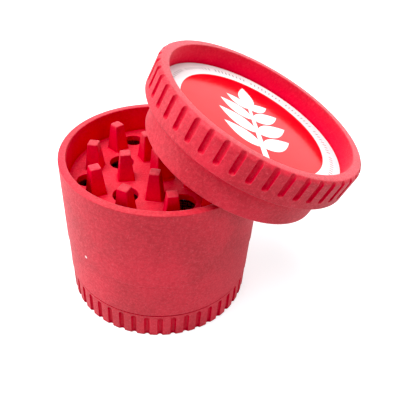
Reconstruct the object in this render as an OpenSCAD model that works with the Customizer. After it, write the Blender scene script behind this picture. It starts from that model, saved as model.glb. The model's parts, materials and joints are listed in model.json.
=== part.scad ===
// Four-piece moulded herb grinder, opened, with its lid leaning on the rim.
// Origin: centre of the base's underside. +Z is up, +X is the side the lid leans on.
// All lengths are in millimetres and all angles in degrees.

/* [Body] */
// Outer diameter of the stacked body
body_d = 55; // [52:1:58]
// Height from the table to the open rim
body_h = 45; // [43:0.5:50]
// Height of the ribbed base cup
base_h = 8.7; // [8.4:0.1:11]
// Height of the plain middle section's outer wall
middle_h = 12; // [10:0.5:14]
// Wall thickness of the grinding chamber at the rim
rim_wall = 2; // [1.6:0.1:2.4]
// Width of the hairline seam between two stacked pieces
seam_gap = 0.08; // [0.05:0.01:0.2]

/* [Grip grooves] */
// Number of upright grooves around the base and around the lid
groove_count = 46; // [36:1:50]
// Radius of the round groove bottom
groove_r = 0.8; // [0.7:0.05:1.0]
// Depth of a groove below the surface
groove_depth = 0.75; // [0.4:0.05:0.8]
// Plain band between the base's grooves and its top edge
base_lip_h = 1.0; // [0.6:0.1:2]

/* [Lid] */
// Outer diameter of the lid's grooved band
lid_d = 58; // [56:1:62]
// Height of the grooved band
band_h = 8.4; // [8:0.1:10]
// Height of the plain skirt that drops into the chamber
skirt_h = 8.9; // [8:0.1:10]
// Width of the flat ring around the label recess
lid_ring_w = 2.9; // [2.2:0.1:3.5]
// Depth of the label recess, down to the label's face
recess_depth = 5.6; // [2:0.1:5.8]
// Thickness of the printed label
label_t = 0.3; // [0.2:0.05:0.5]

/* [Lid's leaning place] */
// Centre of the lid's top ring, along X
lid_x = 25.6; // [25:0.1:26.5]
// Centre of the lid's top ring, along Y
lid_y = 0.4; // [-0.5:0.1:0.5]
// Centre of the lid's top ring, along Z
lid_z = 61.1; // [61:0.1:62]
// Tilt of the lid away from level
lid_tilt = 22.4; // [21:0.1:23]
// Direction the lid leans in, from +X towards +Y
lid_heading = 2.5; // [0:0.5:5]

/* [Grinding teeth] */
// Height of the chamber's teeth, which end level with the rim
tooth_h = 8.2; // [7.5:0.1:8.5]
// Side of a tooth at its foot
tooth_foot = 4.5; // [4:0.1:4.8]
// Side of a tooth at its tip
tooth_tip = 2.8; // [2.2:0.1:3]
// Radius of the outer ring of chamber teeth
outer_ring_r = 19.1; // [18.8:0.1:19.4]
// Radius of the inner ring of chamber teeth
inner_ring_r = 10; // [9.6:0.1:10.2]
// Number of teeth in the inner ring; the outer ring has twice as many
inner_count = 5; // [4:1:5]
// Direction of the first inner tooth, from +X towards +Y
tooth_heading = 121.8; // [0:0.1:180]
// Length of the lid's teeth
lid_tooth_h = 5.4; // [4:0.1:5.4]

/* [Floor holes] */
// Diameter of the holes between every second pair of outer teeth
outer_hole_d = 5.6; // [4:0.1:6]
// Radius of the ring of outer holes
outer_hole_ring_r = 20.5; // [20:0.1:21]
// Diameter of the holes between the inner teeth
inner_hole_d = 6.8; // [5:0.1:7]
// Radius of the ring of inner holes
inner_hole_ring_r = 13.2; // [13:0.1:13.6]

/* [Screw joints] */
// Rise of a piece for each full turn
thread_lead = 9; // [6:1:9]
// Number of thread lugs around each joint
lug_count = 3; // [3:1:3]
// Arc that one lug covers
lug_arc = 18; // [12:1:20]
// Height of one lug
lug_h = 0.8; // [0.6:0.1:0.9]

/* [Screen] */
// Pitch of the screen's wires
wire_pitch = 2.8; // [2.4:0.1:4]
// Thickness of the screen's wires
wire_w = 0.5; // [0.3:0.1:0.8]

/* [Magnets] */
// Diameter of the rod magnet in the centre post
post_magnet_d = 3; // [2.5:0.5:3]
// Length of the rod magnet in the centre post
post_magnet_h = 8; // [6:0.5:8]
// Diameter of the disc magnet under the lid
lid_magnet_d = 8; // [6:1:8]
// Thickness of the disc magnet under the lid
lid_magnet_h = 2; // [1.5:0.1:2]

/* [Hidden] */
$fn = 96;

hemp_red = [0.86, 0.16, 0.25];
steel_grey = [0.70, 0.71, 0.73];
label_white = [0.95, 0.94, 0.93];

body_r = body_d / 2;
seam_low_z = base_h;
seam_high_z = base_h + middle_h;

cup_floor_t = 2;
cup_r = body_r - 0.35;
cup_chamfer = 0.35;
cup_cove = 1;
mid_r = body_r - 0.2;
bore_r = body_r - 2.5;
spigot_r = bore_r - 0.8;
spigot_in_r = spigot_r - 1.8;
spigot_down_h = 5.4;
spigot_up_h = 6;
lug_proud = 0.65;
lug_root = 0.4;
lug_drop = thread_lead / lug_count / 2;
upper_lug_z = seam_high_z + spigot_up_h - 1.2;
lower_lug_z = seam_low_z - 3;
fit_gap = 0.05;
// How far one solid sinks into another it joins, and how far a cut runs past a face
fuse = 0.2;
cut_over = 1;

ledge_in_r = spigot_in_r - 2;
ledge_z = seam_low_z + 2.6;
ledge_t = 1;
ledge_slope = 1;
screen_t = 0.5;
screen_gap = 0.2;
border_w = 1.6;
screen_z = ledge_z + ledge_t;
ring_h = 1.4;
ring_w = 1.7;
ring_z = screen_z + screen_t;

floor_t = 2;
tooth_floor_z = body_h - tooth_h;
floor_under_z = tooth_floor_z - floor_t;
cavity_r = body_r - rim_wall;
rim_soft = 0.25;
outer_count = 2 * inner_count;
outer_heading = tooth_heading + 180 / outer_count;
post_foot = 5.4;
post_tip = 4.5;

lid_r = lid_d / 2;
lid_chamfer = 0.7;
lid_edge = 0.3;
recess_r = lid_r - lid_ring_w;
skirt_gap = 0.1;
skirt_t = 2;
skirt_r = cavity_r - skirt_gap;
skirt_in_r = skirt_r - skirt_t;
plate_t = 2.2;
plate_top_z = -(recess_depth + label_t);
plate_low_z = plate_top_z - plate_t;
skirt_low_z = -(band_h + skirt_h);
lid_groove_top = 0.1;
lid_groove_low = 6.3;
lid_groove_turn = 3.8;
base_groove_turn = -91.5;
lid_outer_ring_r = (outer_ring_r + inner_ring_r) / 2;
lid_inner_ring_r = 5.6;
lid_inner_count = 3;
lid_inner_foot = 3;
lid_inner_tip = 2;
boss_r = lid_inner_ring_r + lid_inner_foot / 2 + 0.3;
boss_h = 0.8;
boss_low_z = plate_low_z - boss_h;

// Puts a shape drawn in the lid's own frame, top ring at z = 0, where the lid leans.
module in_lid_frame() {
    translate([lid_x, lid_y, lid_z])
        rotate([0, 0, lid_heading])
            rotate([0, lid_tilt, 0])
                children();
}

// Copies a shape around the axis at one radius, each copy turned to face outwards.
module around(count, r, heading = 0) {
    for (i = [0 : count - 1])
        rotate([0, 0, heading + i * 360 / count])
            translate([r, 0, 0])
                children();
}

// Round-bottomed upright grooves cut into a cylinder of radius r.
module grip_grooves(r, low_z, high_z, heading) {
    around(groove_count, r + groove_r - groove_depth, heading)
        translate([0, 0, low_z])
            cylinder(r = groove_r, h = high_z - low_z, $fn = 24);
}

// Four-sided tapered tooth standing on z = 0, with its sides square to the radius.
module tooth(foot, tip, h) {
    rotate([0, 0, 45])
        cylinder(d1 = foot * sqrt(2), d2 = tip * sqrt(2), h = h, $fn = 4);
}

// Ring of thread lugs between two radii, centred on height z.
module thread_lugs(in_r, out_r, z) {
    for (i = [0 : lug_count - 1])
        rotate([0, 0, i * 360 / lug_count - lug_arc / 2])
            translate([0, 0, z - lug_h / 2])
                rotate_extrude(angle = lug_arc)
                    translate([in_r, 0])
                        square([out_r - in_r, lug_h]);
}

// Lugs standing out of a spigot of radius spigot_r.
module spigot_lugs(z) {
    thread_lugs(spigot_r - lug_root, spigot_r + lug_proud, z);
}

// Lugs standing into a bore of radius bore_r.
module bore_lugs(z) {
    thread_lugs(bore_r - lug_proud, bore_r + lug_root, z);
}

module base_cup() {
    color(hemp_red)
    union() {
        difference() {
            rotate_extrude()
                polygon([
                    [0, 0],
                    [cup_r - cup_chamfer, 0],
                    [cup_r, cup_chamfer],
                    [cup_r, seam_low_z - seam_gap],
                    [bore_r, seam_low_z - seam_gap],
                    [bore_r, cup_floor_t + cup_cove],
                    [bore_r - cup_cove, cup_floor_t],
                    [0, cup_floor_t]
                ]);
            grip_grooves(cup_r, -cut_over, seam_low_z - base_lip_h, base_groove_turn);
        }
        bore_lugs(lower_lug_z + lug_drop);
    }
}

module mid_chamber() {
    wall_low_z = seam_low_z;
    wall_high_z = seam_high_z - seam_gap;
    color(hemp_red)
    union() {
        rotate_extrude()
            polygon([
                [spigot_in_r, wall_low_z - spigot_down_h],
                [spigot_r, wall_low_z - spigot_down_h],
                [spigot_r, wall_low_z],
                [mid_r, wall_low_z],
                [mid_r, wall_high_z],
                [spigot_r, wall_high_z],
                [spigot_r, wall_high_z + spigot_up_h],
                [spigot_in_r, wall_high_z + spigot_up_h],
                [spigot_in_r, ledge_z + ledge_t],
                [ledge_in_r, ledge_z + ledge_t],
                [ledge_in_r, ledge_z],
                [spigot_in_r, ledge_z - ledge_slope]
            ]);
        spigot_lugs(upper_lug_z);
        spigot_lugs(lower_lug_z);
    }
}

module screen_mesh() {
    mesh_r = spigot_in_r - screen_gap;
    half_count = floor((mesh_r - border_w / 2) / wire_pitch);
    color(steel_grey)
    translate([0, 0, screen_z])
    union() {
        difference() {
            cylinder(r = mesh_r, h = screen_t);
            translate([0, 0, -cut_over])
                cylinder(r = mesh_r - border_w, h = screen_t + 2 * cut_over);
        }
        for (turn = [0, 90])
            rotate([0, 0, turn])
                for (i = [-half_count : half_count]) {
                    offset_y = i * wire_pitch;
                    half_l = sqrt(pow(mesh_r - border_w / 2, 2) - pow(abs(offset_y) + wire_w / 2, 2));
                    translate([-half_l, offset_y - wire_w / 2, 0])
                        cube([2 * half_l, wire_w, screen_t]);
                }
    }
}

module screen_ring() {
    color(steel_grey)
    rotate_extrude()
        translate([spigot_in_r - fit_gap - ring_w, ring_z])
            square([ring_w, ring_h]);
}

module grinding_chamber() {
    wall_low_z = seam_high_z;
    color(hemp_red)
    difference() {
        union() {
            rotate_extrude()
                polygon([
                    [bore_r, wall_low_z],
                    [body_r, wall_low_z],
                    [body_r, body_h - rim_soft],
                    [body_r - rim_soft, body_h],
                    [cavity_r + rim_soft, body_h],
                    [cavity_r, body_h - rim_soft],
                    [cavity_r, tooth_floor_z],
                    [0, tooth_floor_z],
                    [0, floor_under_z],
                    [bore_r, floor_under_z]
                ]);
            bore_lugs(upper_lug_z - lug_drop);
            translate([0, 0, tooth_floor_z - fuse]) {
                around(outer_count, outer_ring_r, outer_heading)
                    tooth(tooth_foot, tooth_tip, tooth_h + fuse);
                around(inner_count, inner_ring_r, tooth_heading)
                    tooth(tooth_foot, tooth_tip, tooth_h + fuse);
                rotate([0, 0, tooth_heading])
                    tooth(post_foot, post_tip, tooth_h + fuse);
            }
        }
        translate([0, 0, floor_under_z - cut_over]) {
            around(inner_count, outer_hole_ring_r, tooth_heading)
                cylinder(d = outer_hole_d, h = floor_t + 2 * cut_over);
            around(inner_count, inner_hole_ring_r, tooth_heading + 180 / inner_count)
                cylinder(d = inner_hole_d, h = floor_t + 2 * cut_over);
            cylinder(r = post_magnet_d / 2 + fit_gap, h = post_magnet_h + cut_over + fit_gap);
        }
    }
}

module chamber_magnet() {
    color(steel_grey)
    translate([0, 0, floor_under_z])
        cylinder(d = post_magnet_d, h = post_magnet_h);
}

module lid_shell() {
    color(hemp_red)
    in_lid_frame()
    difference() {
        union() {
            difference() {
                rotate_extrude()
                    polygon([
                        [0, plate_low_z],
                        [skirt_in_r, plate_low_z],
                        [skirt_in_r, skirt_low_z + lid_edge],
                        [skirt_in_r + lid_edge, skirt_low_z],
                        [skirt_r - lid_edge, skirt_low_z],
                        [skirt_r, skirt_low_z + lid_edge],
                        [skirt_r, -band_h],
                        [lid_r - lid_edge, -band_h],
                        [lid_r, -band_h + lid_edge],
                        [lid_r, -lid_chamfer],
                        [lid_r - lid_chamfer, 0],
                        [recess_r, 0],
                        [recess_r, plate_top_z],
                        [0, plate_top_z]
                    ]);
                grip_grooves(lid_r, -lid_groove_low, -lid_groove_top, lid_groove_turn);
            }
            translate([0, 0, boss_low_z])
                cylinder(r = boss_r, h = boss_h + fuse);
            translate([0, 0, plate_low_z + fuse])
                mirror([0, 0, 1]) {
                    around(outer_count, lid_outer_ring_r, outer_heading)
                        tooth(tooth_foot, tooth_tip, lid_tooth_h + fuse);
                    around(lid_inner_count, lid_inner_ring_r, tooth_heading)
                        tooth(lid_inner_foot, lid_inner_tip, lid_tooth_h + fuse);
                }
        }
        translate([0, 0, boss_low_z - cut_over])
            cylinder(r = lid_magnet_d / 2 + fit_gap, h = lid_magnet_h + cut_over + fit_gap);
    }
}

module lid_magnet() {
    color(steel_grey)
    in_lid_frame()
        translate([0, 0, boss_low_z])
            cylinder(d = lid_magnet_d, h = lid_magnet_h);
}

module lid_label() {
    color(label_white)
    in_lid_frame()
        translate([0, 0, plate_top_z])
            cylinder(r = recess_r - fit_gap, h = label_t);
}

base_cup();
mid_chamber();
screen_mesh();
screen_ring();
grinding_chamber();
chamber_magnet();
lid_shell();
lid_magnet();
lid_label();
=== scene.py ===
import json
import math

import bmesh
import bpy
from mathutils import Matrix, Vector
from mathutils.geometry import delaunay_2d_cdt


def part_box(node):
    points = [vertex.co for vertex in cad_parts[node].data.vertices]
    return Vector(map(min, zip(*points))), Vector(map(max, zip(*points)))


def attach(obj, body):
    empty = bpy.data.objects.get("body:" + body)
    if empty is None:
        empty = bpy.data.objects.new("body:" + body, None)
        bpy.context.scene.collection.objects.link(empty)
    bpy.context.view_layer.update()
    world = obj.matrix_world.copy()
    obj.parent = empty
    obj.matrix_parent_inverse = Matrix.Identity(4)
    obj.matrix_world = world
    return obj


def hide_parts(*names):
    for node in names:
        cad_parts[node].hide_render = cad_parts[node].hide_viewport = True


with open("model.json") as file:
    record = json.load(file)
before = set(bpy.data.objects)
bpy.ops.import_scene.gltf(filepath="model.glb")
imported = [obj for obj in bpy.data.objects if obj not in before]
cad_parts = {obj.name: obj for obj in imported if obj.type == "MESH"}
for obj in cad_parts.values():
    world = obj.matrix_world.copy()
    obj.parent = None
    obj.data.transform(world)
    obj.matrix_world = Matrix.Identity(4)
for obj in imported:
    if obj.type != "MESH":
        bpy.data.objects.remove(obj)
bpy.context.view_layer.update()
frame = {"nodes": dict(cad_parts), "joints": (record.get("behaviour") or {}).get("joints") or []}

# Every length is in millimetres and every direction is a share of a full turn, unless a name or
# a comment says otherwise. Meshes are scaled to metres as they are made.
MM = 0.001
TURN = 2 * math.pi


def box_mm(node):
    """Lowest and highest corner of a CAD node in millimetres."""
    low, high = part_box(node)
    return low / MM, high / MM


# ---------------------------------------------------------------- sizes taken from the frame
_, cup_high = box_mm("base_cup")
mid_low, mid_high = box_mm("mid_chamber")
chamber_low, chamber_high = box_mm("grinding_chamber")
screen_low, screen_high = box_mm("screen_mesh")

BODY_R = chamber_high.x
CUP_TOP_Z = cup_high.z
SPIGOT_LOW_Z = mid_low.z
SPIGOT_TOP_Z = mid_high.z
SEAM_HIGH_Z = chamber_low.z
RIM_Z = chamber_high.z
SCREEN_R = screen_high.x
SCREEN_LOW_Z = screen_low.z
SCREEN_HIGH_Z = screen_high.z

# ---------------------------------------------------------------- body
SEAM_GAP = 0.08
SEAM_LOW_Z = CUP_TOP_Z + SEAM_GAP
MID_WALL_TOP_Z = SEAM_HIGH_Z - SEAM_GAP
MID_R = BODY_R - 0.2
CUP_R = BODY_R - 0.35
BORE_R = BODY_R - 2.5
SPIGOT_R = BORE_R - 0.8
SPIGOT_IN_R = SPIGOT_R - 1.8
CUP_FLOOR_Z = 2.0
CUP_CHAMFER = 0.35
CUP_LIP_DROP = 0.12
CUP_LIP_IN = 0.4
CUP_COVE = 1.0
MID_EDGE_UP = 0.28
MID_EDGE_IN = 0.55
LEDGE_IN_R = SPIGOT_IN_R - 2.0
LEDGE_TOP_Z = SCREEN_LOW_Z
LEDGE_LOW_Z = LEDGE_TOP_Z - 1.0
CAVITY_R = BODY_R - 2.0
TOOTH_H = 8.2
FLOOR_Z = RIM_Z - TOOTH_H
FLOOR_UNDER_Z = FLOOR_Z - 2.0
ROUND_COUNT = 192
SOFT_STEPS = 4

# ---------------------------------------------------------------- grip grooves
GROOVE_COUNT = 46
GROOVE_R = 0.8
GROOVE_DEPTH = 0.75
GROOVE_HALF_W = math.sqrt(GROOVE_R**2 - (GROOVE_R - GROOVE_DEPTH) ** 2)
GROOVE_SOFT = 0.05
GROOVE_MARKS = (0.0, 0.3, 0.55, 0.75, 0.88, 1.0, 1.12, 1.35)
GROOVE_STEP = 0.25
CUP_GROOVE_TOP_Z = SEAM_LOW_Z - 1.0
CUP_GROOVE_LOW_Z = -5.0
CUP_GROOVE_TURN = -91.5 / 360

# ---------------------------------------------------------------- screw threads
THREAD_LEAD = 9.0
THREAD_STARTS = 3
THREAD_PROUD = 0.65
THREAD_HALF_W = 0.5
THREAD_FADE = 0.7
THREAD_SOFT = 0.1
THREAD_STEP = 0.25
THREAD_END_GAP = 0.3
CUP_THREAD_LOW_Z = CUP_FLOOR_Z + 3.2
UPPER_THREAD_Z = SPIGOT_TOP_Z - 1.12
LOWER_THREAD_Z = SEAM_LOW_Z - 3.0
HALF_PITCH = THREAD_LEAD / THREAD_STARTS / 2

# ---------------------------------------------------------------- grinding teeth and floor holes
TOOTH_FOOT = 4.5
TOOTH_TIP = 2.8
POST_FOOT = 5.4
POST_TIP = 4.5
OUTER_RING_R = 19.1
INNER_RING_R = 10.0
INNER_COUNT = 5
OUTER_COUNT = 2 * INNER_COUNT
TOOTH_HEADING = 121.8 / 360
OUTER_HEADING = TOOTH_HEADING + 0.5 / OUTER_COUNT
FOOT_FILLET = 0.35
TIP_SOFT = 0.3
CORNER_SOFT = 0.35
OUTER_HOLE_R = 2.8
OUTER_HOLE_RING_R = 20.5
INNER_HOLE_R = 3.4
INNER_HOLE_RING_R = 13.2
HOLE_SOFT = 0.25
HOLE_COUNT = 40
SOCKET_COUNT = 48
POST_SOCKET_R = 1.55
POST_SOCKET_H = 8.05

# ---------------------------------------------------------------- lid, in its own frame
LID_R = 29.0
BAND_H = 8.4
SKIRT_LOW_Z = -17.3
SKIRT_R = CAVITY_R - 0.1
SKIRT_IN_R = SKIRT_R - 2.0
LID_CHAMFER = 0.7
RECESS_R = LID_R - 2.9
LABEL_T = 0.3
PLATE_TOP_Z = -5.9
PLATE_LOW_Z = -8.1
BOSS_R = 7.4
BOSS_LOW_Z = PLATE_LOW_Z - 0.8
BOSS_COUNT = 96
LID_GROOVE_TOP_Z = 0.5
LID_GROOVE_LOW_Z = -6.3
LID_GROOVE_TURN = 3.8 / 360
LID_OUTER_RING_R = (OUTER_RING_R + INNER_RING_R) / 2
LID_TOOTH_H = 5.4
LID_INNER_RING_R = 5.6
LID_INNER_COUNT = 3
LID_INNER_FOOT = 3.0
LID_INNER_TIP = 2.0
LID_INNER_FILLET = 0.03
LID_INNER_TOOTH_H = LID_TOOTH_H - (PLATE_LOW_Z - BOSS_LOW_Z)
LID_SOCKET_R = 4.05
LID_SOCKET_H = 2.05

lid_joint = next(j for j in frame["joints"] if j["name"] == "lid_turn")
lid_axis = Vector(lid_joint["axis"]).normalized()
LID_PLACE = (
    Matrix.Translation(lid_joint["pos_m"])
    @ Matrix.Rotation(math.atan2(lid_axis.y, lid_axis.x), 4, "Z")
    @ Matrix.Rotation(math.acos(lid_axis.z), 4, "Y")
)


# ---------------------------------------------------------------- mesh building
WALL_NEAR = 0.05
WALL_EXACT = 0.01
WELD_WITHIN = 0.002
CREASE_ANGLE = math.radians(38)


def polar(r, turn, z=0.0):
    """Point at radius r, a share of a turn from +X towards +Y, at height z."""
    return (r * math.cos(TURN * turn), r * math.sin(TURN * turn), z)


def even_turns(count):
    """Directions of count evenly spaced points."""
    return [i / count for i in range(count)]


def circle(r, count, centre=(0.0, 0.0, 0.0)):
    """Closed loop of points around a centre."""
    loop = [polar(r, turn) for turn in even_turns(count)]
    return [(x + centre[0], y + centre[1], centre[2]) for x, y, _ in loop]


def soften(corners, closed=False):
    """Path through corners (r, z, soft), each corner rounded off over its soft distance."""
    path = []
    for i, (r, z, soft) in enumerate(corners):
        corner = Vector((r, z))
        if soft == 0:
            path.append(corner)
            continue
        back = Vector(corners[i - 1][:2]) - corner
        ahead = Vector(corners[(i + 1) % len(corners)][:2]) - corner
        start = corner + back.normalized() * min(soft, back.length / 2)
        end = corner + ahead.normalized() * min(soft, ahead.length / 2)
        for k in range(SOFT_STEPS + 1):
            t = k / SOFT_STEPS
            path.append(start * (1 - t) ** 2 + corner * (2 * t * (1 - t)) + end * t**2)
    if closed:
        path.append(path[0])
    return path


def split_wall(path, radius, step):
    """The same path with its upright stretches at one radius cut into short steps."""
    cut = [path[0]]
    for before, after in zip(path, path[1:]):
        if abs(before.x - radius) < WALL_NEAR and abs(after.x - radius) < WALL_NEAR:
            count = max(1, math.ceil((after - before).length / step))
            cut.extend(before.lerp(after, k / count) for k in range(1, count))
        cut.append(after)
    return cut


def signed_area(outline):
    """Twice the area inside a flat outline, positive when it runs anticlockwise."""
    return sum(a[0] * b[1] - b[0] * a[1] for a, b in zip(outline, outline[1:] + outline[:1]))


def fill(outlines):
    """Triangles between flat outlines: points, faces, and for each face the outlines it lies in."""
    coords, loops = [], []
    for outline in outlines:
        outline = list(outline) if signed_area(outline) > 0 else list(reversed(outline))
        loops.append(list(range(len(coords), len(coords) + len(outline))))
        coords.extend(Vector(p[:2]) for p in outline)
    points, _, faces, _, _, owners = delaunay_2d_cdt(coords, [], loops, 0, 1e-6)
    return points, faces, owners


class Shell:
    """Faces collected in millimetres, then welded into one closed mesh."""

    def __init__(self):
        self.points = []
        self.faces = []
        self.looks = []

    def add(self, points, faces, look=0):
        """Adds faces, given as indexes into points, with one material number."""
        start = len(self.points)
        self.points.extend(points)
        self.faces.extend([start + i for i in face] for face in faces)
        self.looks.extend([look] * len(faces))

    def bridge(self, rows):
        """Joins each closed row of points to the next with four-sided faces."""
        count = len(rows[0])
        faces = []
        for j in range(len(rows) - 1):
            low, high = j * count, (j + 1) * count
            for i in range(count):
                k = (i + 1) % count
                faces.append((low + i, low + k, high + k, high + i))
        self.add([p for row in rows for p in row], faces)

    def revolve(self, path, turns, shape=None):
        """Spins a path of (r, z) about the axis; shape may change the radius at each point."""
        rows = []
        for r, z in path:
            rows.append([polar(shape(r, z, turn) if shape else r, turn, z) for turn in turns])
        self.bridge(rows)
        return rows[0], rows[-1]

    def plate(self, outline, holes=()):
        """Fills a flat outline, leaving its holes open."""
        points, faces, owners = fill([outline, *holes])
        kept = [face for face, within in zip(faces, owners) if list(within) == [0]]
        self.add([(p.x, p.y, outline[0][2]) for p in points], kept)

    def piece(self, name, materials, body, stands_for=None, place=None):
        """Makes the welded object, smooth but for its crisp edges, and puts it on its body."""
        mesh = bpy.data.meshes.new(name)
        mesh.from_pydata([Vector(p) * MM for p in self.points], [], self.faces)
        for material in materials:
            mesh.materials.append(material)
        mesh.polygons.foreach_set("material_index", self.looks)
        built = bmesh.new()
        built.from_mesh(mesh)
        bmesh.ops.remove_doubles(built, verts=built.verts, dist=WELD_WITHIN * MM)
        bmesh.ops.recalc_face_normals(built, faces=built.faces)
        built.to_mesh(mesh)
        built.free()
        mesh.polygons.foreach_set("use_smooth", [True] * len(mesh.polygons))
        mesh.set_sharp_from_angle(angle=CREASE_ANGLE)
        obj = bpy.data.objects.new(name, mesh)
        bpy.context.scene.collection.objects.link(obj)
        if place is not None:
            obj.matrix_world = place
        weigh = obj.modifiers.new("flat_faces_stay_flat", "WEIGHTED_NORMAL")
        weigh.keep_sharp = True
        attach(obj, body)
        if stands_for:
            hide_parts(stands_for)
        return obj


# ---------------------------------------------------------------- shared shapes
def soft_positive(value, soft):
    """value where it is above zero and nought below, with a rounded turn between."""
    return (value + math.sqrt(value * value + soft * soft)) / 2


def groove_turns(radius, heading):
    """Directions of the columns of points around a grooved wall, closest at the groove edges."""
    pitch = TURN * radius / GROOVE_COUNT
    across = sorted({side * mark * GROOVE_HALF_W for mark in GROOVE_MARKS for side in (-1, 1)})
    across.append(pitch / 2)
    return [
        heading + (i + x / pitch) / GROOVE_COUNT for i in range(GROOVE_COUNT) for x in across
    ]


def grooved(radius, heading, low_z, high_z):
    """Shape that presses a ring of round-ended upright grooves into a wall of this radius."""
    pitch = TURN * radius / GROOVE_COUNT

    def shape(r, z, turn):
        share = (turn - heading) * GROOVE_COUNT
        x = (share - round(share)) * pitch
        past_end = max(low_z + GROOVE_HALF_W - z, z - high_z + GROOVE_HALF_W, 0.0)
        away = math.hypot(x, past_end)
        depth = math.sqrt(max(0.0, GROOVE_R**2 - away**2)) - GROOVE_R + GROOVE_DEPTH
        depth -= max(0.0, away - GROOVE_R)
        return min(r, radius - soft_positive(depth, GROOVE_SOFT))

    return shape


def threaded(radius, proud, helix_z, low_z, high_z):
    """Shape that raises screw threads from a wall of this radius, fading out at both ends."""
    pitch = 2 * HALF_PITCH

    def shape(r, z, turn):
        if abs(r - radius) > WALL_EXACT:
            return r
        off = (z - helix_z - THREAD_LEAD * turn) % pitch
        off = min(off, pitch - off)
        height = soft_positive(1 - (off / THREAD_HALF_W) ** 2, THREAD_SOFT)
        ends = min((z - low_z) / THREAD_FADE, (high_z - z) / THREAD_FADE)
        return r + proud * height * min(1.0, max(0.0, ends))

    return shape


def rounded_square(side, centre_r, heading, z, soft):
    """Closed loop around a square with softened corners, its sides square to the radius."""
    half = side / 2
    soft = min(soft, half * 0.6)
    loop = []
    for quarter in range(4):
        for k in range(SOFT_STEPS + 1):
            x, y, _ = polar(soft, (quarter + k / SOFT_STEPS) / 4)
            cx = (half - soft) * (1 if quarter in (0, 3) else -1)
            cy = (half - soft) * (1 if quarter in (0, 1) else -1)
            loop.append((x + cx, y + cy))
    cos, sin = math.cos(TURN * heading), math.sin(TURN * heading)
    return [
        ((centre_r + x) * cos - y * sin, (centre_r + x) * sin + y * cos, z) for x, y in loop
    ]


def add_tooth(shell, foot, tip, foot_z, height, centre_r, heading, fillet=FOOT_FILLET):
    """Tapered four-sided tooth with a filleted foot and softened tip; returns its foot loop.
    A negative height hangs the tooth below its foot."""
    up = 1 if height > 0 else -1
    length = abs(height)
    taper = (tip - foot) / length
    quarter = [TURN / 4 * k / SOFT_STEPS for k in range(SOFT_STEPS + 1)]
    rows = []
    for swing in quarter:
        rise = fillet * (1 - math.cos(swing))
        spread = fillet * (1 - math.sin(swing))
        rows.append((foot + taper * rise + 2 * spread, rise))
    for swing in quarter:
        rise = length - TIP_SOFT * (1 - math.sin(swing))
        inset = TIP_SOFT * (1 - math.cos(swing))
        rows.append((foot + taper * rise - 2 * inset, rise))
    loops = [
        rounded_square(side, centre_r, heading, foot_z + up * rise, CORNER_SOFT)
        for side, rise in rows
    ]
    shell.bridge(loops)
    shell.plate(loops[-1])
    return loops[0]


def tooth_ring(shell, count, first, foot, tip, foot_z, height, ring_r, fillet=FOOT_FILLET):
    """Evenly spaced ring of teeth, the first at a given heading; returns their foot loops."""
    return [
        add_tooth(shell, foot, tip, foot_z, height, ring_r, first + turn, fillet)
        for turn in even_turns(count)
    ]


def add_hole(shell, r, ring_r, heading, top_z, low_z):
    """Round hole with softened lips through a flat wall; returns its upper and lower loops."""
    outer_r = r + 2 * HOLE_SOFT
    path = soften(
        [(outer_r, top_z, 0), (r, top_z, HOLE_SOFT), (r, low_z, HOLE_SOFT), (outer_r, low_z, 0)]
    )
    x, y, _ = polar(ring_r, heading)
    rows = [circle(r_here, HOLE_COUNT, (x, y, z)) for r_here, z in path[1:-1]]
    shell.bridge(rows)
    return rows[0], rows[-1]


def add_socket(shell, r, open_z, end_z):
    """Blind round socket on the axis; returns the loop around its mouth."""
    rows = [circle(r, SOCKET_COUNT, (0, 0, z)) for z in (open_z, end_z)]
    shell.bridge(rows)
    shell.plate(rows[-1])
    return rows[0]


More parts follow.
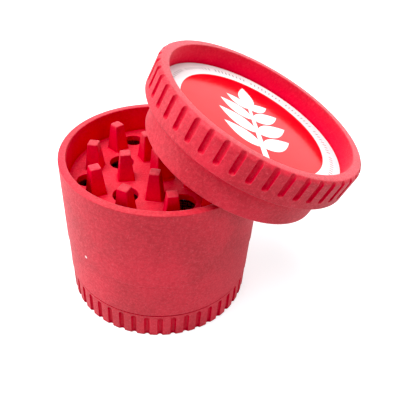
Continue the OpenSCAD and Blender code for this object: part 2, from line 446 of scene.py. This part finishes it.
# ---------------------------------------------------------------- materials
class Paint:
    """One material's nodes, added and wired with short calls."""

    def __init__(self, name):
        self.material = bpy.data.materials.new(name)
        self.material.use_nodes = True
        self.tree = self.material.node_tree
        self.shader = self.tree.nodes["Principled BSDF"]
        self.place = self.add("TexCoord").outputs["Object"]

    def set(self, socket, value):
        """Links a node's output to a socket, or gives the socket a plain value."""
        if isinstance(value, bpy.types.NodeSocket):
            self.tree.links.new(value, socket)
        else:
            socket.default_value = value

    def add(self, kind, settings=None, inputs=None):
        """New shader node with its settings and inputs filled in."""
        node = self.tree.nodes.new("ShaderNode" + kind)
        for key, value in (settings or {}).items():
            setattr(node, key, value)
        for key, value in (inputs or {}).items():
            self.set(node.inputs[key], value)
        return node

    def stretched(self, stretch, tilt):
        """Coordinates that draw a texture out by stretch along axes tilted by degrees."""
        angles = [math.radians(a) for a in tilt]
        mapping = self.add(
            "Mapping",
            {"vector_type": "TEXTURE"},
            {"Vector": self.place, "Rotation": angles, "Scale": stretch},
        )
        return mapping.outputs["Vector"]

    def noise(self, size, detail=2.0, place=None, rough=0.5):
        """Noise with blobs about size millimetres across, from 0 to 1."""
        inputs = {
            "Vector": place or self.place,
            "Scale": 1 / (size * MM),
            "Detail": detail,
            "Roughness": rough,
        }
        return self.add("TexNoise", None, inputs).outputs["Fac"]

    def dots(self, spacing, radius, share, soft=0.5):
        """Mask of sparse round dots: their spacing and radius in millimetres, and the share kept."""
        cells = self.add("TexVoronoi", None, {"Vector": self.place, "Scale": 1 / (spacing * MM)})
        edge = radius / spacing
        dot = self.band(cells.outputs["Distance"], edge, edge * soft)
        chance = self.add("SeparateColor", None, {"Color": cells.outputs["Color"]}).outputs[0]
        return self.math("MULTIPLY", dot, self.band(chance, 1 - share, 1 - share * 0.8))

    def band(self, value, low, high, to_low=0.0, to_high=1.0):
        """Smooth step of a value between two levels."""
        inputs = {
            "Value": value,
            "From Min": low,
            "From Max": high,
            "To Min": to_low,
            "To Max": to_high,
        }
        return self.add("MapRange", {"interpolation_type": "SMOOTHSTEP"}, inputs).outputs["Result"]

    def math(self, operation, a, b):
        """One arithmetic step."""
        return self.add("Math", {"operation": operation}, {0: a, 1: b}).outputs[0]

    def mix(self, factor, a, b):
        """Colour between a and b."""
        node = self.add("Mix", {"data_type": "RGBA"})
        for index, value in ((0, factor), (6, a), (7, b)):
            self.set(node.inputs[index], value)
        return node.outputs[2]

    def over(self, colour, mask, share, tint):
        """Lays a tint over a colour where the mask is, at a share of full strength."""
        return self.mix(self.math("MULTIPLY", mask, share), colour, tint)

    def edges(self, radius):
        """Mask of the outer edges within radius millimetres."""
        bevel = self.add("Bevel", {"samples": 4}, {"Radius": radius * MM})
        normal = self.add("NewGeometry").outputs["Normal"]
        dot = self.add("VectorMath", {"operation": "DOT_PRODUCT"}, {0: bevel.outputs[0], 1: normal})
        return self.band(dot.outputs["Value"], 0.995, 0.86)

    def open_sky(self, reach, own_faces=False):
        """Share of open space around a point, counting faces within reach millimetres."""
        settings = {"samples": 8, "only_local": own_faces}
        return self.add("AmbientOcclusion", settings, {"Distance": reach * MM}).outputs["AO"]

    def facing_up(self, elsewhere, upward):
        """One value on walls and undersides, sliding to another on faces that look up."""
        normal = self.add("NewGeometry").outputs["Normal"]
        rise = self.add("SeparateXYZ", None, {"Vector": normal}).outputs["Z"]
        return self.band(rise, 0.6, 0.95, elsewhere, upward)

    def finish(self, colour, roughness, height, bump_mm, strength=1.0, **others):
        """Feeds the surface shader and returns the material."""
        bump = self.add(
            "Bump", None, {"Height": height, "Distance": bump_mm * MM, "Strength": strength}
        )
        self.set(self.shader.inputs["Base Color"], colour)
        self.set(self.shader.inputs["Roughness"], roughness)
        self.set(self.shader.inputs["Normal"], bump.outputs["Normal"])
        for name, value in others.items():
            self.set(self.shader.inputs[name.replace("_", " ")], value)
        return self.material


HEMP_RED = (0.70, 0.005, 0.032, 1)
HEMP_DEEP = (0.50, 0.002, 0.018, 1)
HEMP_PALE = (0.86, 0.032, 0.064, 1)
FIBRE_PINK = (0.85, 0.16, 0.19, 1)
SPECK_DARK = (0.25, 0.003, 0.006, 1)
# Painted shade: darker, cleaner red laid into grooves and creases.
CREASE_SHADE_RED = (0.56, 0.0, 0.022, 1)
# Painted bounce light: brighter, saturated red on sheltered walls.
BOUNCE_LIGHT_RED = (0.88, 0.002, 0.045, 1)
# Painted shadow: near black for deeply enclosed places.
DEEP_SHADOW_RED = (0.10, 0, 0.002, 1)
FLECK_WHITE = (0.95, 0.85, 0.85, 1)
FLECK_PLACE = [length * MM for length in polar(BODY_R, 230.34 / 360, 23.5)]
FLECK_R = 0.5
FIBRE_TILTS = ((0, 12, 25), (0, 78, 140), (70, 20, 80), (20, 40, 200))
FIBRE_STRETCH = (9, 1, 1)
FIBRE_WIDE = 0.2
SPECK_SPACING = 1.3
SPECK_R = 0.2
SCRATCH_TILT = (8, 14, 0)
SCRATCH_STRETCH = (1, 1, 40)
HOLLOW_REACH = 1.6
NOOK_REACH = 12
WEAR_R = 0.3


def fibre_mask(paint):
    """Mask of short fibres lying several ways."""
    fibres = None
    for tilt in FIBRE_TILTS:
        strand = paint.noise(FIBRE_WIDE, 1, paint.stretched(FIBRE_STRETCH, tilt))
        strand = paint.band(strand, 0.66, 0.74)
        fibres = strand if fibres is None else paint.math("MAXIMUM", fibres, strand)
    return fibres


def hemp_plastic():
    """Matte red plastic filled with plant fibre: mottled, with short pale fibres, fine specks and
    one pale fleck. Painted shade darkens grooves and creases and goes near black in deep places
    such as under the lid; painted bounce light makes other sheltered walls a brighter, cleaner
    red; sheltered places also get less gloss and sheen than the hazy open faces."""
    paint = Paint("hemp_plastic_red")
    broad = paint.noise(16, 2)
    mottle = paint.noise(0.8, 4, rough=0.7)
    grain = paint.noise(0.3, 3, rough=0.6)
    colour = paint.mix(paint.band(broad, 0.3, 0.7), HEMP_DEEP, HEMP_RED)
    colour = paint.mix(paint.band(mottle, 0.42, 0.66, 0, 0.35), colour, HEMP_PALE)
    colour = paint.mix(paint.band(mottle, 0.5, 0.32, 0, 0.3), colour, HEMP_DEEP)

    fibres = fibre_mask(paint)
    specks = paint.dots(SPECK_SPACING, SPECK_R, 0.4)
    away = paint.add("VectorMath", {"operation": "DISTANCE"}, {0: paint.place, 1: FLECK_PLACE})
    fleck = paint.band(away.outputs["Value"], FLECK_R * MM, 0.7 * FLECK_R * MM)
    scratch = paint.noise(0.35, 1, paint.stretched(SCRATCH_STRETCH, SCRATCH_TILT))
    scratch = paint.band(scratch, 0.74, 0.80)
    worn = paint.math("MULTIPLY", paint.edges(WEAR_R), paint.band(mottle, 0.2, 0.7, 0.35, 0.8))
    colour = paint.over(colour, fibres, 0.25, FIBRE_PINK)
    colour = paint.over(colour, specks, 0.5, SPECK_DARK)
    colour = paint.over(colour, fleck, 0.9, FLECK_WHITE)
    colour = paint.over(colour, scratch, 0.25, FIBRE_PINK)
    colour = paint.over(colour, worn, 0.5, FIBRE_PINK)

    # Painted shade: grooves and creases with little open space nearby get a darker, cleaner red.
    crease_shade = paint.band(paint.open_sky(HOLLOW_REACH), 0.96, 0.55)
    # Painted bounce light: walls sheltered by the object's own faces turn a brighter, saturated red,
    # less so on faces that look up.
    bounce_light = paint.band(paint.open_sky(NOOK_REACH, own_faces=True), 0.92, 0.6)
    bounce_light = paint.math("MULTIPLY", bounce_light, paint.facing_up(1.0, 0.35))
    # Painted shadow: colour goes near black where little is open within reach, as on the floor under
    # the lid.
    depth = paint.band(paint.open_sky(NOOK_REACH), 0.38, 0.12)
    colour = paint.over(colour, bounce_light, 0.7, BOUNCE_LIGHT_RED)
    colour = paint.over(colour, crease_shade, 0.8, CREASE_SHADE_RED)
    colour = paint.over(colour, depth, 0.85, DEEP_SHADOW_RED)

    # Less gloss and sheen where the painted shade and painted bounce light are.
    sheltered = paint.math("MAXIMUM", bounce_light, crease_shade)
    gloss = paint.band(sheltered, 0.0, 1.0, 0.42, 0.1)
    haze = paint.band(sheltered, 0.0, 1.0, 0.12, 0.0)
    haze = paint.math("MULTIPLY", haze, paint.band(grain, 0.35, 0.65, 0.4, 1.6))
    haze = paint.math("MULTIPLY", haze, paint.facing_up(0.8, 1.7))
    roughness = paint.band(mottle, 0.25, 0.75, 0.62, 0.48)
    height = paint.math("ADD", paint.math("MULTIPLY", grain, 0.6), paint.math("MULTIPLY", mottle, 0.8))
    height = paint.math("ADD", height, paint.math("MULTIPLY", fibres, 0.3))
    return paint.finish(
        colour, roughness, height, 0.06, 0.8, Specular_IOR_Level=gloss, Sheen_Weight=haze
    )


def bare_metal(name, colour, dark, spread, rough_low, rough_high, line_mm):
    """Metal with fine turning lines and a cloudy surface."""
    paint = Paint(name)
    cloud = paint.noise(spread, 3)
    lines = paint.noise(line_mm, 2, paint.stretched((30, 30, 1), (0, 0, 0)))
    tone = paint.over(colour, paint.band(cloud, 0.3, 0.7), 0.6, dark)
    tone = paint.over(tone, paint.edges(0.15), 0.5, (1, 1, 1, 1))
    roughness = paint.band(cloud, 0.3, 0.7, rough_low, rough_high)
    return paint.finish(tone, roughness, lines, 0.01, 0.6, Metallic=1.0)


def printed_ink(name, colour, deep, gloss):
    """Glossy ink or film on the label: faintly uneven, with fine scuffs."""
    paint = Paint(name)
    cloud = paint.noise(6, 3)
    grain = paint.noise(0.35, 3)
    tone = paint.mix(paint.band(cloud, 0.3, 0.7), deep, colour)
    tone = paint.mix(paint.band(grain, 0.3, 0.8, 0, 0.12), tone, deep)
    scuff = paint.noise(0.3, 1, paint.stretched((18, 1, 1), (0, 0, 38)))
    rough = paint.math("ADD", paint.band(scuff, 0.6, 0.75, 0.0, 0.12), gloss)
    return paint.finish(tone, rough, grain, 0.004, 0.4, Specular_IOR_Level=0.1)


HEMP = hemp_plastic()
WIRE_GREY, WIRE_SHADE = (0.32, 0.32, 0.33, 1), (0.18, 0.18, 0.19, 1)
RING_GREY, RING_SHADE = (0.68, 0.68, 0.70, 1), (0.5, 0.5, 0.52, 1)
NICKEL, NICKEL_SHADE = (0.72, 0.70, 0.66, 1), (0.55, 0.53, 0.5, 1)
SCREEN_STEEL = bare_metal("screen_steel_wire", WIRE_GREY, WIRE_SHADE, 3, 0.3, 0.45, 0.2)
RING_STEEL = bare_metal("ring_steel_turned", RING_GREY, RING_SHADE, 5, 0.2, 0.35, 0.12)
MAGNET_NICKEL = bare_metal("magnet_nickel_plate", NICKEL, NICKEL_SHADE, 2, 0.12, 0.25, 0.3)
LABEL_WHITE = printed_ink("label_film_white", (0.90, 0.90, 0.90, 1), (0.84, 0.84, 0.85, 1), 0.14)
LABEL_RED = printed_ink("label_ink_red", (0.82, 0.007, 0.016, 1), (0.78, 0.005, 0.012, 1), 0.13)
LABEL_GREY = printed_ink("label_ink_grey", (0.16, 0.15, 0.16, 1), (0.10, 0.10, 0.11, 1), 0.2)


# ---------------------------------------------------------------- base cup
def build_cup():
    """Cup with a grooved outside, threaded bore and coved floor."""
    shell = Shell()
    outside = soften(
        [
            (CUP_R - 2, 0, 0),
            (CUP_R - CUP_CHAMFER, 0, 0.15),
            (CUP_R, CUP_CHAMFER, 0.15),
            (CUP_R, CUP_TOP_Z - CUP_LIP_DROP, 0.15),
            (CUP_R - CUP_LIP_IN, CUP_TOP_Z, 0.1),
            (CUP_R - CUP_LIP_IN - 0.3, CUP_TOP_Z, 0),
        ]
    )
    outside = split_wall(outside, CUP_R, GROOVE_STEP)
    shape = grooved(CUP_R, CUP_GROOVE_TURN, CUP_GROOVE_LOW_Z, CUP_GROOVE_TOP_Z)
    low_loop, high_loop = shell.revolve(outside, groove_turns(CUP_R, CUP_GROOVE_TURN), shape)
    shell.plate(low_loop)
    inside = soften(
        [
            (BORE_R + 0.6, CUP_TOP_Z, 0),
            (BORE_R, CUP_TOP_Z, 0.3),
            (BORE_R, CUP_FLOOR_Z + CUP_COVE, 0.4),
            (BORE_R - CUP_COVE, CUP_FLOOR_Z, 0.4),
            (BORE_R - 2 * CUP_COVE, CUP_FLOOR_Z, 0),
        ]
    )
    inside = split_wall(inside, BORE_R, THREAD_STEP)
    helix_z = LOWER_THREAD_Z + HALF_PITCH
    top_z = CUP_TOP_Z - THREAD_END_GAP
    shape = threaded(BORE_R, -THREAD_PROUD, helix_z, CUP_THREAD_LOW_Z, top_z)
    mouth_loop, floor_loop = shell.revolve(inside, even_turns(ROUND_COUNT), shape)
    shell.plate(high_loop, [mouth_loop])
    shell.plate(floor_loop)
    shell.piece("cup_grooved", [HEMP], "base", "base_cup")


# ---------------------------------------------------------------- middle chamber
def build_middle():
    """Plain ring wall with a threaded spigot above and below and a ledge for the screen."""
    shell = Shell()
    path = soften(
        [
            (SPIGOT_IN_R, SPIGOT_LOW_Z, 0.3),
            (SPIGOT_R, SPIGOT_LOW_Z, 0.3),
            (SPIGOT_R, SEAM_LOW_Z, 0.1),
            (MID_R - MID_EDGE_IN, SEAM_LOW_Z, 0.1),
            (MID_R, SEAM_LOW_Z + MID_EDGE_UP, 0.2),
            (MID_R, MID_WALL_TOP_Z, 0.15),
            (SPIGOT_R, MID_WALL_TOP_Z, 0.1),
            (SPIGOT_R, SPIGOT_TOP_Z, 0.3),
            (SPIGOT_IN_R, SPIGOT_TOP_Z, 0.3),
            (SPIGOT_IN_R, LEDGE_TOP_Z, 0.1),
            (LEDGE_IN_R, LEDGE_TOP_Z, 0.2),
            (LEDGE_IN_R, LEDGE_LOW_Z, 0.2),
            (SPIGOT_IN_R, LEDGE_LOW_Z - 1, 0.3),
        ],
        closed=True,
    )
    path = split_wall(path, SPIGOT_R, THREAD_STEP)
    upper_ends = (MID_WALL_TOP_Z + 1, SPIGOT_TOP_Z - THREAD_END_GAP)
    lower_ends = (SPIGOT_LOW_Z + THREAD_END_GAP, SEAM_LOW_Z - 2 * THREAD_END_GAP)
    upper = threaded(SPIGOT_R, THREAD_PROUD, UPPER_THREAD_Z, *upper_ends)
    lower = threaded(SPIGOT_R, THREAD_PROUD, LOWER_THREAD_Z, *lower_ends)

    def shape(r, z, turn):
        return upper(r, z, turn) if z > SEAM_LOW_Z else lower(r, z, turn)

    shell.revolve(path, even_turns(ROUND_COUNT), shape)
    shell.piece("middle_threaded", [HEMP], "middle", "mid_chamber")


# ---------------------------------------------------------------- screen
WIRE_PITCH = 1.4
WIRE_R = 0.13
WIRE_WAVE = 0.115
WIRE_SIDES = 6
WIRE_STEPS_PER_PITCH = 4
WIRE_SET_IN = 0.4
SCREEN_RIM_W = 1.6
SCREEN_RIM_SOFT = 0.12


def add_wire(shell, offset, along_x, over, middle_z, rim_r):
    """One crimped wire of the woven screen, its ends set in the rim."""
    half = math.sqrt(rim_r**2 - offset**2)
    count = max(2, round(2 * WIRE_STEPS_PER_PITCH * half / WIRE_PITCH))
    rows = []
    for k in range(count + 1):
        s = -half + 2 * half * k / count
        z = middle_z + over * WIRE_WAVE * math.cos(math.pi * s / WIRE_PITCH)
        row = []
        for side in range(WIRE_SIDES):
            across, up, _ = polar(WIRE_R, side / WIRE_SIDES)
            flat = (s, offset + across) if along_x else (offset + across, s)
            row.append((*flat, z + up))
        rows.append(row)
    shell.bridge(rows)
    start = len(shell.points) - len(rows) * WIRE_SIDES
    ends = (range(WIRE_SIDES), range(count * WIRE_SIDES, (count + 1) * WIRE_SIDES))
    shell.faces.extend([start + i for i in end] for end in ends)
    shell.looks.extend([0, 0])


def build_screen():
    """Woven wire screen in a flat rim."""
    shell = Shell()
    middle_z = (SCREEN_LOW_Z + SCREEN_HIGH_Z) / 2
    inner_r = SCREEN_R - SCREEN_RIM_W
    rim = soften(
        [
            (inner_r, SCREEN_LOW_Z, SCREEN_RIM_SOFT),
            (SCREEN_R, SCREEN_LOW_Z, SCREEN_RIM_SOFT),
            (SCREEN_R, SCREEN_HIGH_Z, SCREEN_RIM_SOFT),
            (inner_r, SCREEN_HIGH_Z, SCREEN_RIM_SOFT),
        ],
        closed=True,
    )
    shell.revolve(rim, even_turns(ROUND_COUNT))
    half_count = int(inner_r / WIRE_PITCH)
    for i in range(-half_count, half_count + 1):
        over = 1 if i % 2 else -1
        for along_x in (True, False):
            turned = over if along_x else -over
            add_wire(shell, i * WIRE_PITCH, along_x, turned, middle_z, inner_r + WIRE_SET_IN)
    shell.piece("screen_woven", [SCREEN_STEEL], "middle", "screen_mesh")


# ---------------------------------------------------------------- grinding chamber
def build_chamber():
    """Open chamber: soft rim, floor with teeth and holes, threaded bore below."""
    shell = Shell()
    path = soften(
        [
            (CAVITY_R - 1.2, FLOOR_Z, 0),
            (CAVITY_R, FLOOR_Z, 0.5),
            (CAVITY_R, RIM_Z, 0.35),
            (BODY_R, RIM_Z, 0.45),
            (BODY_R, SEAM_HIGH_Z, 0.15),
            (BORE_R, SEAM_HIGH_Z, 0.3),
            (BORE_R, FLOOR_UNDER_Z, 0.5),
            (BORE_R - 1.2, FLOOR_UNDER_Z, 0),
        ]
    )
    path = split_wall(path, BORE_R, THREAD_STEP)
    helix_z = UPPER_THREAD_Z - HALF_PITCH
    shape = threaded(BORE_R, -THREAD_PROUD, helix_z, SEAM_HIGH_Z + 0.5, SPIGOT_TOP_Z)
    floor_loop, under_loop = shell.revolve(path, even_turns(ROUND_COUNT), shape)
    rings = ((OUTER_COUNT, OUTER_HEADING, OUTER_RING_R), (INNER_COUNT, TOOTH_HEADING, INNER_RING_R))
    above = [add_tooth(shell, POST_FOOT, POST_TIP, FLOOR_Z, TOOTH_H, 0, TOOTH_HEADING)]
    for count, first, ring_r in rings:
        above += tooth_ring(shell, count, first, TOOTH_FOOT, TOOTH_TIP, FLOOR_Z, TOOTH_H, ring_r)
    below = [add_socket(shell, POST_SOCKET_R, FLOOR_UNDER_Z, FLOOR_UNDER_Z + POST_SOCKET_H)]
    for turn in even_turns(INNER_COUNT):
        outer = TOOTH_HEADING + turn
        inner = outer + 0.5 / INNER_COUNT
        for r, ring_r, heading in (
            (OUTER_HOLE_R, OUTER_HOLE_RING_R, outer),
            (INNER_HOLE_R, INNER_HOLE_RING_R, inner),
        ):
            upper_loop, lower_loop = add_hole(shell, r, ring_r, heading, FLOOR_Z, FLOOR_UNDER_Z)
            above.append(upper_loop)
            below.append(lower_loop)
    shell.plate(floor_loop, above)
    shell.plate(under_loop, below)
    shell.piece("chamber_toothed", [HEMP], "chamber", "grinding_chamber")


# ---------------------------------------------------------------- lid
def build_lid():
    """Lid with a grooved band, label recess, plain skirt, and teeth and a magnet pad beneath."""
    shell = Shell()
    band = soften(
        [
            (SKIRT_R + 1.2, -BAND_H, 0),
            (LID_R, -BAND_H, 0.35),
            (LID_R, -LID_CHAMFER, 0.35),
            (LID_R - LID_CHAMFER, 0, 0.35),
            (LID_R - LID_CHAMFER - 0.8, 0, 0),
        ]
    )
    band = split_wall(band, LID_R, GROOVE_STEP)
    shape = grooved(LID_R, LID_GROOVE_TURN, LID_GROOVE_LOW_Z, LID_GROOVE_TOP_Z)
    band_loop, top_loop = shell.revolve(band, groove_turns(LID_R, LID_GROOVE_TURN), shape)
    recess = soften(
        [
            (RECESS_R + 0.6, 0, 0),
            (RECESS_R, 0, 0.35),
            (RECESS_R, PLATE_TOP_Z, 0.1),
            (RECESS_R - 1, PLATE_TOP_Z, 0),
        ]
    )
    rim_loop, recess_loop = shell.revolve(recess, even_turns(ROUND_COUNT))
    shell.plate(top_loop, [rim_loop])
    shell.plate(recess_loop)
    skirt = soften(
        [
            (SKIRT_R + 0.8, -BAND_H, 0),
            (SKIRT_R, -BAND_H, 0.2),
            (SKIRT_R, SKIRT_LOW_Z, 0.4),
            (SKIRT_IN_R, SKIRT_LOW_Z, 0.4),
            (SKIRT_IN_R, PLATE_LOW_Z, 0.5),
            (SKIRT_IN_R - 1.2, PLATE_LOW_Z, 0),
        ]
    )
    skirt_loop, under_loop = shell.revolve(skirt, even_turns(ROUND_COUNT))
    shell.plate(band_loop, [skirt_loop])
    boss = soften(
        [
            (BOSS_R + 0.5, PLATE_LOW_Z, 0),
            (BOSS_R, PLATE_LOW_Z, 0.15),
            (BOSS_R, BOSS_LOW_Z, 0.05),
            (BOSS_R - 0.1, BOSS_LOW_Z, 0),
        ]
    )
    boss_foot, boss_face = shell.revolve(boss[1:], even_turns(BOSS_COUNT))
    outer_feet = tooth_ring(
        shell,
        OUTER_COUNT,
        OUTER_HEADING,
        TOOTH_FOOT,
        TOOTH_TIP,
        PLATE_LOW_Z,
        -LID_TOOTH_H,
        LID_OUTER_RING_R,
    )
    shell.plate(under_loop, [boss_foot, *outer_feet])
    socket = add_socket(shell, LID_SOCKET_R, BOSS_LOW_Z, BOSS_LOW_Z + LID_SOCKET_H)
    inner_feet = tooth_ring(
        shell,
        LID_INNER_COUNT,
        TOOTH_HEADING,
        LID_INNER_FOOT,
        LID_INNER_TIP,
        BOSS_LOW_Z,
        -LID_INNER_TOOTH_H,
        LID_INNER_RING_R,
        LID_INNER_FILLET,
    )
    shell.plate(boss_face, [socket, *inner_feet])
    shell.piece("lid_grooved", [HEMP], "lid", "lid_shell", LID_PLACE)


# ---------------------------------------------------------------- label
LABEL_R = RECESS_R - 0.05
LABEL_TOP_Z = PLATE_TOP_Z + LABEL_T
DISC_R = 20.8
TICK_RING_R = 23.5
TICK_COUNT = 120
TICK_LONG = 1.1
TICK_WIDE = 0.26
TICK_GAP_EVERY = 10
DISC_COUNT = 128
SPRIG_HEADING = 0.27
SPRIG_LEAN = 0.15
LEAF_STEPS = 14
# Pairs of leaves from the foot up: height on the stem, length and width.
LEAF_PAIRS = ((-11.5, 11.5, 4.8), (-5.4, 12.0, 5.0), (0.7, 10.5, 4.6), (6.0, 7.5, 3.6))
WHITE, RED, GREY = range(3)


def leaf(tail, heading, length, width):
    """Outline of a pointed leaf growing from tail."""
    cos, sin = math.cos(TURN * heading), math.sin(TURN * heading)
    outline = []
    for side in (1, -1):
        for k in range(LEAF_STEPS):
            t = k / LEAF_STEPS if side == 1 else 1 - k / LEAF_STEPS
            x = length * t
            y = side * width / 2 * math.sin(math.pi * t**0.8) ** 0.9
            outline.append((tail[0] + x * cos - y * sin, tail[1] + x * sin + y * cos))
    return outline


def tick(turn):
    """Outline of a short radial stroke on the white ring."""
    half = TICK_WIDE / 2 / TICK_RING_R / TURN
    low, high = TICK_RING_R - TICK_LONG / 2, TICK_RING_R + TICK_LONG / 2
    corners = ((low, -half), (high, -half), (high, half), (low, half))
    return [polar(r, turn + side)[:2] for r, side in corners]


def sprig():
    """Outlines of a plain herb sprig: a stem, four pairs of leaves and one at the tip."""
    up, side = SPRIG_HEADING, SPRIG_HEADING - 0.25

    def at(along, across):
        x = along * math.cos(TURN * up) + across * math.cos(TURN * side)
        y = along * math.sin(TURN * up) + across * math.sin(TURN * side)
        return (x, y)

    stem = [at(-18, -0.9), at(-18, 0.9), at(8, 0.45), at(8, -0.45)]
    shapes = [stem, leaf(at(7, 0), up, 10.5, 4.8)]
    for along, length, width in LEAF_PAIRS:
        for hand in (-1, 1):
            shapes.append(leaf(at(along, hand * 0.2), up - hand * SPRIG_LEAN, length, width))
    return shapes


def build_label():
    """Thin printed disc: white ring with groups of ticks, red disc, and a plain white sprig."""
    shapes = [(circle(LABEL_R, ROUND_COUNT), WHITE), (circle(DISC_R, DISC_COUNT), RED)]
    for i in range(TICK_COUNT):
        if i % TICK_GAP_EVERY:
            shapes.append((tick(i / TICK_COUNT), GREY))
    shapes.extend((outline, WHITE) for outline in sprig())
    points, faces, owners = fill([outline for outline, _ in shapes])
    shell = Shell()
    top = [(p.x, p.y, LABEL_TOP_Z) for p in points]
    for face, within in zip(faces, owners):
        shell.add([top[i] for i in face], [range(len(face))], shapes[max(within)][1])
    edge = soften([(LABEL_R, LABEL_TOP_Z, 0), (LABEL_R, PLATE_TOP_Z, 0)])
    shell.revolve(edge, even_turns(ROUND_COUNT))
    shell.plate(circle(LABEL_R, ROUND_COUNT, (0, 0, PLATE_TOP_Z)))
    inks = [LABEL_WHITE, LABEL_RED, LABEL_GREY]
    shell.piece("label_printed", inks, "lid", "lid_label", LID_PLACE)


# ---------------------------------------------------------------- ring and magnets kept from the CAD
BEVEL_ANGLE = math.radians(50)


def dress_node(name, material, soft):
    """Gives a CAD node softened edges and a detailed material, its place and size unchanged."""
    node = frame["nodes"][name]
    node.modifiers.new("weld", "WELD").merge_threshold = WELD_WITHIN / 2 * MM
    bevel = node.modifiers.new("soft_edges", "BEVEL")
    bevel.width = soft * MM
    bevel.segments = 3
    bevel.limit_method = "ANGLE"
    bevel.angle_limit = BEVEL_ANGLE
    node.modifiers.new("flat_faces_stay_flat", "WEIGHTED_NORMAL").keep_sharp = True
    node.data.polygons.foreach_set("use_smooth", [True] * len(node.data.polygons))
    node.data.materials.clear()
    node.data.materials.append(material)


build_cup()
build_middle()
build_screen()
build_chamber()
build_lid()
build_label()
dress_node("screen_ring", RING_STEEL, 0.15)
dress_node("chamber_magnet", MAGNET_NICKEL, 0.15)
dress_node("lid_magnet", MAGNET_NICKEL, 0.2)


# ---------------------------------------------------------------- stage
FLOOR_HALF_M = 1.5
FLOOR_DROP = 0.05
FLOOR_LIFT = 0.65
FLOOR_GLOW = (0.97, 0.99, 1.0, 1)
SURROUND_WHITE = (0.97, 0.98, 1.0, 1)
SURROUND_LIGHT = 0.3
SURROUND_SEEN = 1.1
BLACK_LEVEL = 0.008
# Softboxes aimed at the object: name, place, width and height in metres, then watts.
SOFTBOX_AIM = (0.005, 0, 0.03)
SOFTBOXES = (
    ("key_overhead", (-0.2, -0.1, 0.85), 0.8, 0.8, 11.0),
    ("side_left", (-0.7, -0.05, 0.15), 0.4, 0.5, 3.2),
    ("side_right", (0.7, -0.35, 0.12), 0.4, 0.4, 1.3),
    ("back_card", (0.3, 0.9, 0.4), 1.6, 0.8, 8.0),
)


def build_floor():
    """Plain pale floor just under the object, lifted towards white for the camera."""
    half = FLOOR_HALF_M
    corners = [(-half, -half, 0), (half, -half, 0), (half, half, 0), (-half, half, 0)]
    mesh = bpy.data.meshes.new("floor")
    mesh.from_pydata(corners, [], [(0, 1, 2, 3)])
    paint = Paint("floor_pale")
    cloud = paint.noise(90, 2)
    tone = paint.mix(cloud, (0.54, 0.545, 0.55, 1), (0.58, 0.58, 0.585, 1))
    lift = paint.math("MULTIPLY", paint.add("LightPath").outputs["Is Camera Ray"], FLOOR_LIFT)
    paint.set(paint.shader.inputs["Emission Strength"], lift)
    pale = paint.finish(tone, 0.85, cloud, 0.01, 0.2, Emission_Color=FLOOR_GLOW)
    mesh.materials.append(pale)
    floor = bpy.data.objects.new("floor", mesh)
    floor.location.z = -FLOOR_DROP * MM
    bpy.context.scene.collection.objects.link(floor)


def add_softbox(name, place, width, height, watts):
    """Rectangular white studio light aimed at the object; lengths in metres."""
    lamp = bpy.data.lights.new(name, "AREA")
    lamp.shape = "RECTANGLE"
    lamp.size = width
    lamp.size_y = height
    lamp.energy = watts
    obj = bpy.data.objects.new(name, lamp)
    obj.location = place
    obj.rotation_mode = "QUATERNION"
    obj.rotation_quaternion = (Vector(SOFTBOX_AIM) - Vector(place)).to_track_quat("-Z", "Y")
    bpy.context.scene.collection.objects.link(obj)


def build_lights():
    """Soft lights above, behind and at both sides, and a surround that is plain white to the
    camera but lights the object only faintly."""
    for softbox in SOFTBOXES:
        add_softbox(*softbox)
    world = bpy.data.worlds.new("surround")
    world.use_nodes = True
    background = world.node_tree.nodes["Background"]
    background.inputs["Color"].default_value = SURROUND_WHITE
    seen = world.node_tree.nodes.new("ShaderNodeLightPath").outputs["Is Camera Ray"]
    strength = world.node_tree.nodes.new("ShaderNodeMapRange")
    strength.inputs["To Min"].default_value = SURROUND_LIGHT
    strength.inputs["To Max"].default_value = SURROUND_SEEN
    world.node_tree.links.new(seen, strength.inputs["Value"])
    world.node_tree.links.new(strength.outputs["Result"], background.inputs["Strength"])
    bpy.context.scene.world = world


# Angles in radians, and lengths in metres but for the lens and sensor.
CAMERA_ELEVATION = math.radians(38.28)
CAMERA_ROLL = 0.0806
CAMERA_AIM_Z = 0.021
CAMERA_DISTANCE = 0.14491
CAMERA_SHIFT_RIGHT = 0.011733
CAMERA_SHIFT_UP = 0.0053706
CAMERA_NEAR = 0.005
CAMERA_LENS = 43.163
CAMERA_SENSOR = 36


def build_camera():
    """Close camera above the front, slightly rolled and off to one side."""
    back = Vector((0, -math.cos(CAMERA_ELEVATION), math.sin(CAMERA_ELEVATION)))
    level = Vector((1, 0, 0))
    above = back.cross(level)
    cos, sin = math.cos(CAMERA_ROLL), math.sin(CAMERA_ROLL)
    right = level * cos + above * sin
    up = above * cos - level * sin
    place = (
        Vector((0, 0, CAMERA_AIM_Z))
        + back * CAMERA_DISTANCE
        + right * CAMERA_SHIFT_RIGHT
        + up * CAMERA_SHIFT_UP
    )
    data = bpy.data.cameras.new("camera")
    data.lens = CAMERA_LENS
    data.sensor_width = CAMERA_SENSOR
    data.clip_start = CAMERA_NEAR
    camera = bpy.data.objects.new("camera", data)
    turn = Matrix((right, up, back)).transposed()
    camera.matrix_world = Matrix.Translation(place) @ turn.to_4x4()
    bpy.context.scene.collection.objects.link(camera)
    bpy.context.scene.camera = camera


build_floor()
build_lights()
build_camera()
view = bpy.context.scene.view_settings
view.view_transform = "Standard"
view.look = "None"
view.use_curve_mapping = True
view.curve_mapping.black_level = (BLACK_LEVEL,) * 3
view.curve_mapping.update()
